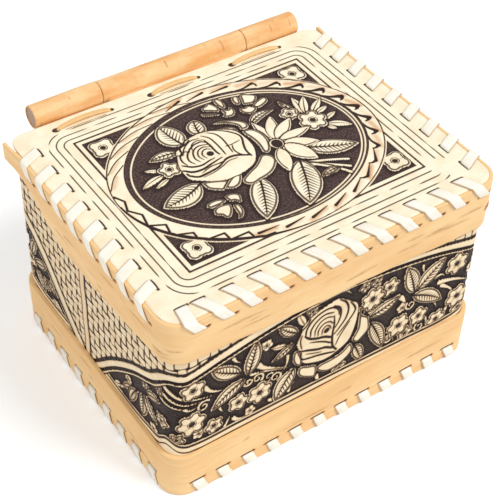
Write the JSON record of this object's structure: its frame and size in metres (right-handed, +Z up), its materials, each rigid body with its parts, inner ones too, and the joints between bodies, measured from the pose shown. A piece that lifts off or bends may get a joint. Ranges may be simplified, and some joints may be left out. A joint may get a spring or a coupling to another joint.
{
  "type": "hinged bark box",
  "caption": "Low rectangular birch bark box with rounded corners, laced rims, embossed walls and an embossed lid that swings on a wooden dowel in rolled bark loops.",
  "frame": {"origin": "centre of the bottom panel's underside, on the plane the box stands on", "axes": "+X along the front from left to right, parallel to the hinge; +Y from front to back, towards the hinge; +Z up"},
  "size_m": [0.2032, 0.1783, 0.1372],
  "materials": {
    "bark_embossed": "embossed bark, cream raised parts over dark stained ground",
    "bark_band": "smooth tan birch bark with fine lenticels",
    "bark_plain": "plain inner bark",
    "bark_lace": "thin white outer bark strip",
    "bark_stitch": "thin tan bark strip",
    "bark_hinge": "rolled tan bark with dark lenticels",
    "dowel_wood": "bare wood, end grain showing"
  },
  "bodies": {
    "box": {"bottom_panel": "bark_plain", "floor_lining": "bark_plain", "wall_liner": "bark_plain", "wall_wrap": "bark_embossed", "foot_band": "bark_band", "foot_laces_front": "bark_lace", "foot_laces_right": "bark_lace", "foot_laces_back": "bark_lace", "foot_laces_left": "bark_lace", "foot_seam_lace": "bark_lace", "hinge_leaf_box": "bark_hinge", "hinge_leaf_box_stitch": "bark_lace", "hinge_dowel": "dowel_wood"},
    "lid": {"lid_panel": "bark_embossed", "lid_lining": "bark_plain", "lid_skirt": "bark_band", "lid_laces_front": "bark_lace", "lid_laces_right": "bark_lace", "lid_laces_left": "bark_lace", "hinge_leaf_lid": "bark_hinge", "hinge_leaf_lid_stitch": "bark_stitch"}
  },
  "joints": [
    {"name": "lid_hinge", "type": "hinge", "parent": "box", "child": "lid", "pos_m": [0, 0.0882, 0.1303], "axis": [-1, 0, 0], "range_deg": [0, 110]}
  ]
}
